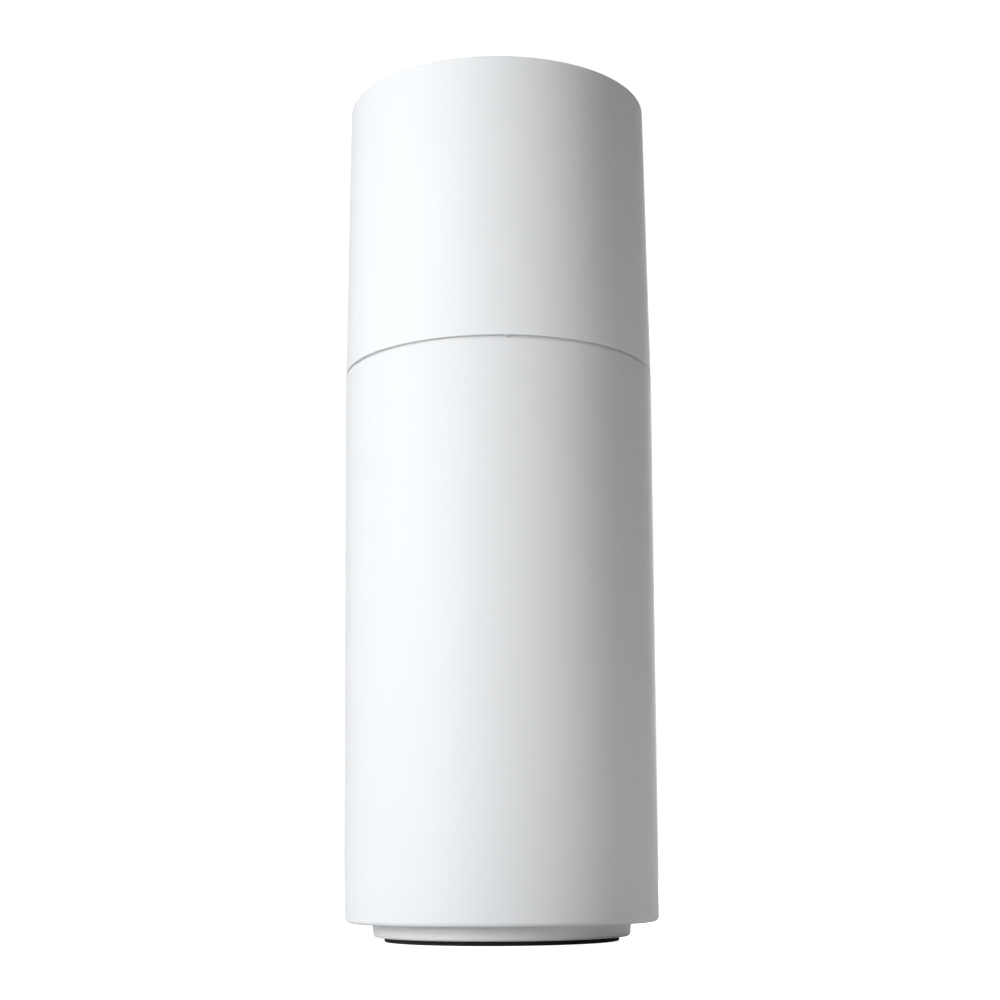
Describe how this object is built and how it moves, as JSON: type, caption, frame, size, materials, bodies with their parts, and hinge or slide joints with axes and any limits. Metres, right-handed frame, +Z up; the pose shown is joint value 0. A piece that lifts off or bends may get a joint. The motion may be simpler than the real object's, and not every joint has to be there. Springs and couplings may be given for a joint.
{
  "type": "air purifier",
  "caption": "Cylindrical desktop air purifier with a recessed plinth, a seam ring and a lift-off fan head over a pleated filter.",
  "frame": {"origin": "on the table, at the centre of the foot's underside", "axes": "+Z up along the cylinder's axis, -Y towards the front, the power inlet on the +Y side"},
  "size_m": [0.1118, 0.1118, 0.303],
  "materials": {
    "board_green": "solder-resist board",
    "carbon": "carbon-loaded foam",
    "component_black": "moulded black",
    "copper": "enamelled winding wire",
    "core_iron": "laminated",
    "fan_plastic": "moulded dark grey",
    "ferrite": "ferrite",
    "filter_paper": "pleated fibre",
    "foot_black": "matt black",
    "gasket": "soft foam rubber",
    "inner_plastic": "moulded off-white",
    "lead_black": "insulated lead",
    "light_pipe": "frosted translucent",
    "magnet": "nickel plated",
    "net": "fine nylon net",
    "screw_steel": "zinc plated",
    "shell_white": "satin white",
    "steel": "plated",
    "trim_grey": "satin light grey"
  },
  "bodies": {
    "base": {"foot_pad": "foot_black", "plinth": "trim_grey", "base_weight": "steel", "intake_grille": "trim_grey", "lower_shell": "shell_white", "filter_seat": "gasket", "seat_ring": "inner_plastic", "plinth_screws": "screw_steel", "grille_screws": "screw_steel", "base_magnets": "magnet"},
    "filter": {"filter_bottom_cap": "inner_plastic", "filter_media": "filter_paper", "carbon_sleeve": "carbon", "filter_core": "inner_plastic", "prefilter_net": "net", "filter_top_cap": "inner_plastic", "filter_gasket": "gasket"},
    "handle": {"filter_handle": "trim_grey"},
    "head": {"head_base": "trim_grey", "head_magnets": "magnet", "duct_screws": "screw_steel", "fan_duct": "inner_plastic", "inlet_guard": "steel", "stator_vanes": "inner_plastic", "motor_mount": "inner_plastic", "motor_screws": "screw_steel", "motor_core": "core_iron", "motor_coils": "copper", "motor_board": "board_green", "shaft_bearings": "steel", "upper_shell": "shell_white", "outlet_grille": "trim_grey", "control_pod": "inner_plastic", "control_board": "board_green", "board_components": "component_black", "tact_switch": "component_black", "control_panel": "shell_white", "light_ring": "light_pipe", "button_spring": "steel", "inlet_socket": "steel", "inlet_tongue": "component_black", "inlet_board": "board_green", "inlet_bracket": "inner_plastic", "power_lead": "lead_black", "motor_lead": "lead_black"},
    "rotor": {"impeller": "fan_plastic", "rotor_can": "steel", "rotor_magnet": "ferrite", "motor_shaft": "steel", "shaft_clip": "steel"},
    "button": {"power_button": "trim_grey"}
  },
  "joints": [
    {"name": "head_lift", "type": "slide", "parent": "base", "child": "head", "axis": [0, 0, 1], "range_m": [0, 0.34]},
    {"name": "filter_lift", "type": "slide", "parent": "base", "child": "filter", "axis": [0, 0, 1], "range_m": [0, 0.192]},
    {"name": "filter_handle_fold", "type": "hinge", "parent": "filter", "child": "handle", "pos_m": [0, 0, 0.1795], "axis": [-1, 0, 0], "range_deg": [0, 90]},
    {"name": "fan_spin", "type": "hinge", "parent": "head", "child": "rotor", "pos_m": [0, 0, 0.225], "axis": [0, 0, 1], "continuous": true},
    {"name": "power_button_press", "type": "slide", "parent": "head", "child": "button", "axis": [0, 0, -1], "range_m": [0, 0.0009], "stiffness_N_per_m": 900, "springref_m": -0.0004, "deforming": ["button_spring"]}
  ],
  "couplings": [
    {"joint": "filter_lift", "follows": "head_lift", "ratio": 0.56}
  ]
}
